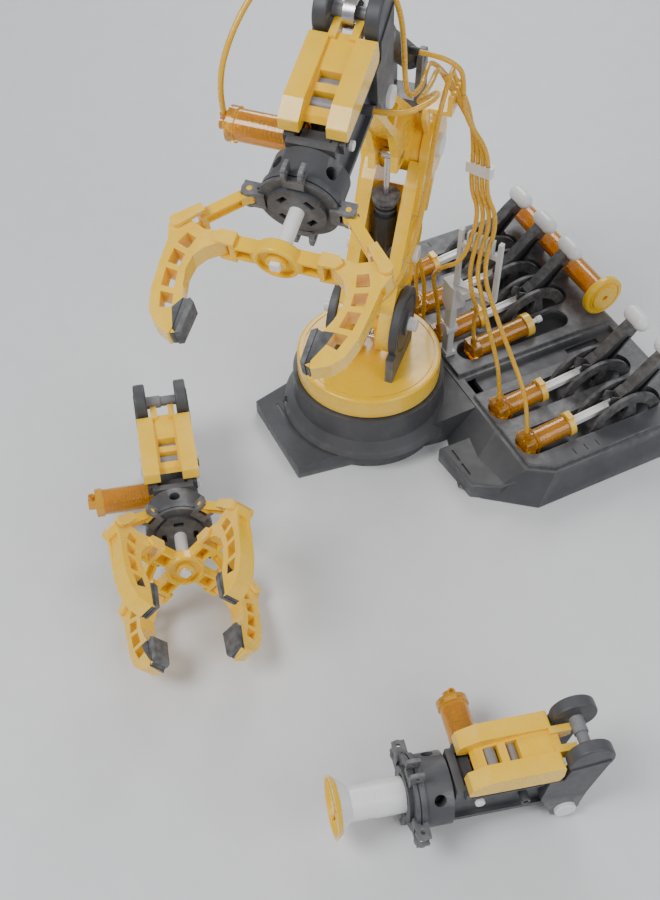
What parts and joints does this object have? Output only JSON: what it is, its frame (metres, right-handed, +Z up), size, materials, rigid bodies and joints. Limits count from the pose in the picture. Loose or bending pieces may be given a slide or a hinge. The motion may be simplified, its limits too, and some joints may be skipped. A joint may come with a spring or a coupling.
{
  "type": "hydraulic robot arm kit",
  "caption": "Tabletop plastic arm driven by water-filled syringes and hand levers, with a two-claw gripper fitted and a claw head and a suction head lying loose.",
  "frame": {"origin": "on the floor under the turntable's axis", "axes": "+Z up, +Y towards the levers, +X towards the side with two levers"},
  "size_m": [0.5951, 0.5706, 0.4912],
  "materials": {
    "dark_grey": "satin moulded ABS",
    "black": "matt moulded ABS",
    "yellow": "glossy moulded ABS",
    "grey": "satin",
    "amber": "clear amber styrene",
    "white": "glossy moulded ABS",
    "lever_black": "satin moulded ABS",
    "light_grey": "satin moulded ABS",
    "steel": "drawn wire",
    "hose": "soft clear yellow tube"
  },
  "bodies": {
    "root": {"hose_riser": "hose", "base_housing": "dark_grey", "bottom_cover": "black", "deck_panels": "dark_grey", "lever_guards": "black", "master_cylinders": "amber", "cylinder_collars": "yellow", "reservoir_tube": "amber", "reservoir_cap": "yellow", "hose_stand": "light_grey", "spare_frame": "dark_grey", "spare_cover": "yellow", "spare_rollers": "grey", "spare_cylinder": "amber", "spare_barrel": "dark_grey", "spare_pins": "white", "grapple_head": "yellow", "sucker_cup": "yellow"},
    "pump": {"pump_plunger": "white"},
    "rack": {"slew_rack": "black"},
    "turntable": {"turntable": "yellow", "slew_pinion": "yellow", "shoulder_bracket": "dark_grey", "shoulder_slave": "black", "hose_clip": "white"},
    "shoulder_piston": {"shoulder_rod": "steel"},
    "boom": {"boom_shells": "yellow", "boom_pins": "white", "elbow_slave": "black", "hose_bracket": "yellow", "hose_bundle": "hose"},
    "elbow_piston": {"elbow_rod": "steel"},
    "forearm": {"forearm": "yellow", "pitch_mast": "dark_grey", "hose_fore": "hose"},
    "pitch_cylinder": {"pitch_cylinder": "black"},
    "pitch_piston": {"pitch_rod": "steel"},
    "wrist": {"hose_wrist": "hose", "wrist_frame": "dark_grey", "wrist_cover": "yellow", "wrist_rollers": "grey", "wrist_pins": "white", "roll_cylinder": "amber"},
    "barrel": {"barrel": "dark_grey"},
    "hub": {"grip_rod": "white", "grip_hub": "yellow"},
    "claw_right": {"claw_right": "yellow"},
    "claw_left": {"claw_left": "yellow"},
    "link_right": {"link_right": "yellow"},
    "link_left": {"link_left": "yellow"},
    "lever_1": {"lever_1": "lever_black"},
    "piston_1": {"push_rod_1": "white"},
    "lever_2": {"lever_2": "lever_black"},
    "piston_2": {"push_rod_2": "white"},
    "lever_3": {"lever_3": "lever_black"},
    "piston_3": {"push_rod_3": "white"},
    "lever_4": {"lever_4": "lever_black"},
    "piston_4": {"push_rod_4": "white"},
    "lever_5": {"lever_5": "lever_black"},
    "piston_5": {"push_rod_5": "white"}
  },
  "joints": [
    {"name": "base_rotate", "type": "hinge", "parent": "root", "child": "turntable", "pos_m": [0, 0, 0.062], "axis": [0, 0, 1], "range_deg": [-175, 90], "deforming": ["hose_riser"]},
    {"name": "shoulder", "type": "hinge", "parent": "turntable", "child": "boom", "pos_m": [-0.0021, 0.00214, 0.122], "axis": [0.7145, 0.6997, 0], "range_deg": [-5, 30], "deforming": ["hose_bundle"]},
    {"name": "elbow", "type": "hinge", "parent": "boom", "child": "forearm", "pos_m": [-0.05597, 0.05716, 0.255], "axis": [-0.7145, -0.6997, 0], "range_deg": [-27, 15], "deforming": ["hose_fore"]},
    {"name": "wrist_pitch", "type": "hinge", "parent": "forearm", "child": "wrist", "pos_m": [0.03918, -0.04001, 0.385], "axis": [0.7145, 0.6997, 0], "range_deg": [-26, 30], "deforming": ["hose_wrist"]},
    {"name": "wrist_roll", "type": "hinge", "parent": "wrist", "child": "barrel", "pos_m": [0.04345, -0.04437, 0.40509], "axis": [0.6694, -0.6836, -0.2907], "range_deg": [-90, 90]},
    {"name": "grip_slide", "type": "slide", "parent": "barrel", "child": "hub", "axis": [0.6694, -0.6836, -0.2907], "range_m": [-0.012, 0.006]},
    {"name": "claw_right_pivot", "type": "hinge", "parent": "hub", "child": "claw_right", "pos_m": [0.17364, -0.12258, 0.36044], "axis": [0.2034, -0.2077, 0.9568], "range_deg": [-25, 14]},
    {"name": "claw_left_pivot", "type": "hinge", "parent": "hub", "child": "claw_left", "pos_m": [0.11892, -0.17617, 0.36044], "axis": [0.2034, -0.2077, 0.9568], "range_deg": [-14, 25]},
    {"name": "link_right_pivot", "type": "hinge", "parent": "barrel", "child": "link_right", "pos_m": [0.14336, -0.09866, 0.37207], "axis": [0.2034, -0.2077, 0.9568], "range_deg": [-2, 2]},
    {"name": "link_left_pivot", "type": "hinge", "parent": "barrel", "child": "link_left", "pos_m": [0.09564, -0.1454, 0.37207], "axis": [0.2034, -0.2077, 0.9568], "range_deg": [-2, 2]},
    {"name": "shoulder_piston_slide", "type": "slide", "parent": "turntable", "child": "shoulder_piston", "axis": [-0.6997, 0.7145, 0], "range_m": [-0.004, 0.018]},
    {"name": "elbow_piston_slide", "type": "slide", "parent": "boom", "child": "elbow_piston", "axis": [0, 0, 1], "range_m": [-0.024, 0.014]},
    {"name": "pitch_cylinder_pivot", "type": "hinge", "parent": "forearm", "child": "pitch_cylinder", "pos_m": [-0.05248, 0.05359, 0.335], "axis": [0.7145, 0.6997, 0], "range_deg": [-10, 10]},
    {"name": "pitch_piston_slide", "type": "slide", "parent": "pitch_cylinder", "child": "pitch_piston", "axis": [0.5453, -0.5569, 0.6265], "range_m": [-0.022, 0.024]},
    {"name": "slew_rack_slide", "type": "slide", "parent": "root", "child": "rack", "axis": [1, 0, 0], "range_m": [-0.012, 0.021]},
    {"name": "pump_slide", "type": "slide", "parent": "root", "child": "pump", "axis": [0, 0.9936, 0.1132], "range_m": [-0.008, 0.008]},
    {"name": "lever_1_pivot", "type": "hinge", "parent": "root", "child": "lever_1", "pos_m": [-0.116, 0.196, 0.04], "axis": [1, 0, 0], "range_deg": [-14, 26]},
    {"name": "piston_1_slide", "type": "slide", "parent": "root", "child": "piston_1", "axis": [0, 0.9936, 0.1132], "range_m": [-0.009, 0.006]},
    {"name": "lever_2_pivot", "type": "hinge", "parent": "root", "child": "lever_2", "pos_m": [-0.072, 0.196, 0.04], "axis": [1, 0, 0], "range_deg": [-14, 26]},
    {"name": "piston_2_slide", "type": "slide", "parent": "root", "child": "piston_2", "axis": [0, 0.9936, 0.1132], "range_m": [-0.009, 0.006]},
    {"name": "lever_3_pivot", "type": "hinge", "parent": "root", "child": "lever_3", "pos_m": [-0.028, 0.196, 0.04], "axis": [1, 0, 0], "range_deg": [-14, 26]},
    {"name": "piston_3_slide", "type": "slide", "parent": "root", "child": "piston_3", "axis": [0, 0.9936, 0.1132], "range_m": [-0.009, 0.006]},
    {"name": "lever_4_pivot", "type": "hinge", "parent": "root", "child": "lever_4", "pos_m": [0.081, 0.196, 0.04], "axis": [1, 0, 0], "range_deg": [-14, 26]},
    {"name": "piston_4_slide", "type": "slide", "parent": "root", "child": "piston_4", "axis": [0, 0.9936, 0.1132], "range_m": [-0.009, 0.006]},
    {"name": "lever_5_pivot", "type": "hinge", "parent": "root", "child": "lever_5", "pos_m": [0.127, 0.196, 0.04], "axis": [1, 0, 0], "range_deg": [-14, 26]},
    {"name": "piston_5_slide", "type": "slide", "parent": "root", "child": "piston_5", "axis": [0, 0.9936, 0.1132], "range_m": [-0.009, 0.006]}
  ],
  "couplings": [
    {"joint": "lever_1_pivot", "follows": "base_rotate", "ratio": -0.147},
    {"joint": "piston_1_slide", "follows": "base_rotate", "m_per_rad": 0.002646},
    {"joint": "lever_2_pivot", "follows": "shoulder", "ratio": 0.8},
    {"joint": "piston_2_slide", "follows": "shoulder", "m_per_rad": -0.0144},
    {"joint": "lever_3_pivot", "follows": "elbow", "ratio": -0.92},
    {"joint": "piston_3_slide", "follows": "elbow", "m_per_rad": 0.01656},
    {"joint": "lever_4_pivot", "follows": "grip_slide", "rad_per_m": -34},
    {"joint": "piston_4_slide", "follows": "grip_slide", "ratio": 0.612},
    {"joint": "lever_5_pivot", "follows": "wrist_pitch", "ratio": 0.5},
    {"joint": "piston_5_slide", "follows": "wrist_pitch", "m_per_rad": -0.009},
    {"joint": "slew_rack_slide", "follows": "base_rotate", "m_per_rad": -0.006},
    {"joint": "shoulder_piston_slide", "follows": "shoulder", "m_per_rad": 0.029},
    {"joint": "elbow_piston_slide", "follows": "elbow", "m_per_rad": 0.0483},
    {"joint": "pitch_cylinder_pivot", "follows": "wrist_pitch", "ratio": 0.265},
    {"joint": "pitch_piston_slide", "follows": "wrist_pitch", "m_per_rad": 0.04},
    {"joint": "pump_slide", "follows": "wrist_roll", "m_per_rad": 0.0044},
    {"joint": "claw_right_pivot", "follows": "grip_slide", "rad_per_m": 32.3},
    {"joint": "claw_left_pivot", "follows": "grip_slide", "rad_per_m": -32.3},
    {"joint": "link_right_pivot", "follows": "grip_slide", "rad_per_m": 0.52},
    {"joint": "link_left_pivot", "follows": "grip_slide", "rad_per_m": -0.52}
  ]
}
